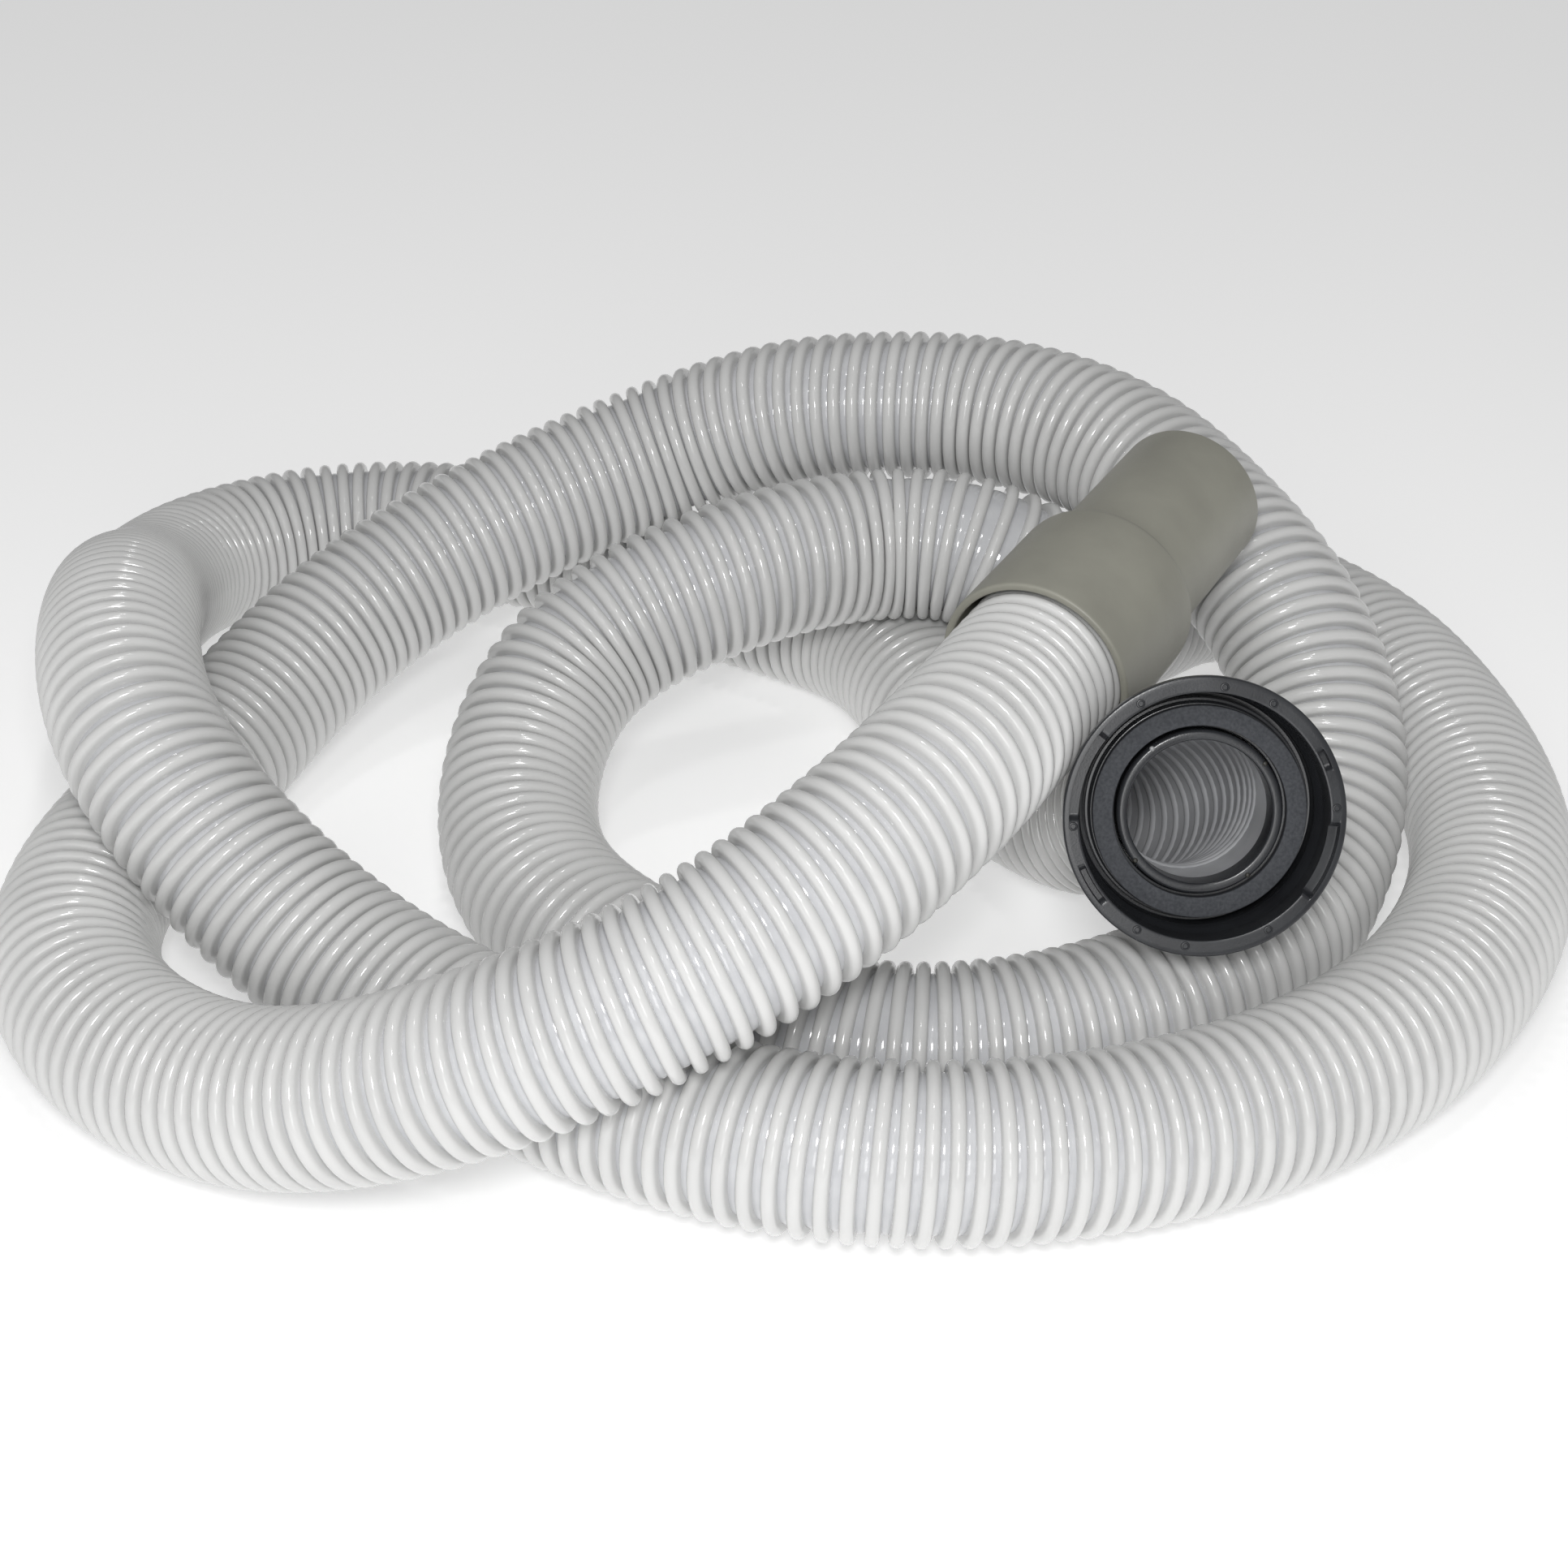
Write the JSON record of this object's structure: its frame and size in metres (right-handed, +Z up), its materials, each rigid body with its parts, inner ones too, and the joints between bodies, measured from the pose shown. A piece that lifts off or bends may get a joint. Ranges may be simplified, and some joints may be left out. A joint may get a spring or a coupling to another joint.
{
  "type": "vacuum hose",
  "caption": "Corrugated vacuum hose lying in loose loops, with a stepped swivel cuff on one end and a bayonet swivel coupling on the other.",
  "frame": {"origin": "middle of the bottom of the whole object's box, on the surface that the hose lies on", "axes": "+X along the pile's longest side, +Y away from the side that the coupling faces, +Z up"},
  "size_m": [0.4612, 0.3962, 0.1356],
  "materials": {
    "hose_pvc": "glossy white extruded vinyl",
    "cuff_plastic": "satin warm grey moulded plastic",
    "cuff_inner_plastic": "plain dark moulded plastic",
    "coupling_plastic": "semi-gloss black moulded plastic",
    "washer_rubber": "matte charcoal rubber"
  },
  "bodies": {
    "hose": {"hose_cuff_end": "hose_pvc", "hose_top_run": "hose_pvc", "hose_left_loop": "hose_pvc", "hose_upper_arc": "hose_pvc", "hose_arc_descent": "hose_pvc", "hose_inner_run": "hose_pvc", "hose_middle_loop": "hose_pvc", "hose_middle_top": "hose_pvc", "hose_right_loop": "hose_pvc", "hose_front_run": "hose_pvc", "hose_left_rise": "hose_pvc", "hose_rear_bend": "hose_pvc", "hose_rear_run": "hose_pvc", "hose_coupling_end": "hose_pvc", "cuff_ferrule": "cuff_inner_plastic", "coupling_insert": "coupling_plastic", "coupling_washer": "washer_rubber", "coupling_lip_ring": "coupling_plastic", "coupling_snap_ring": "coupling_plastic", "coupling_collar": "coupling_plastic"},
    "coupling_shell": {"coupling_shell": "coupling_plastic"},
    "cuff": {"cuff_sleeve": "cuff_plastic", "cuff_retaining_ring": "cuff_inner_plastic"}
  },
  "joints": [
    {"name": "coupling_spin", "type": "hinge", "parent": "hose", "child": "coupling_shell", "pos_m": [0.10607, -0.11925, 0.0925], "axis": [0, -0.9135, 0.4067], "continuous": true},
    {"name": "cuff_spin", "type": "hinge", "parent": "hose", "child": "cuff", "pos_m": [0.11657, 0.02025, 0.113], "axis": [0.4879, 0.8707, 0.0622], "continuous": true}
  ]
}
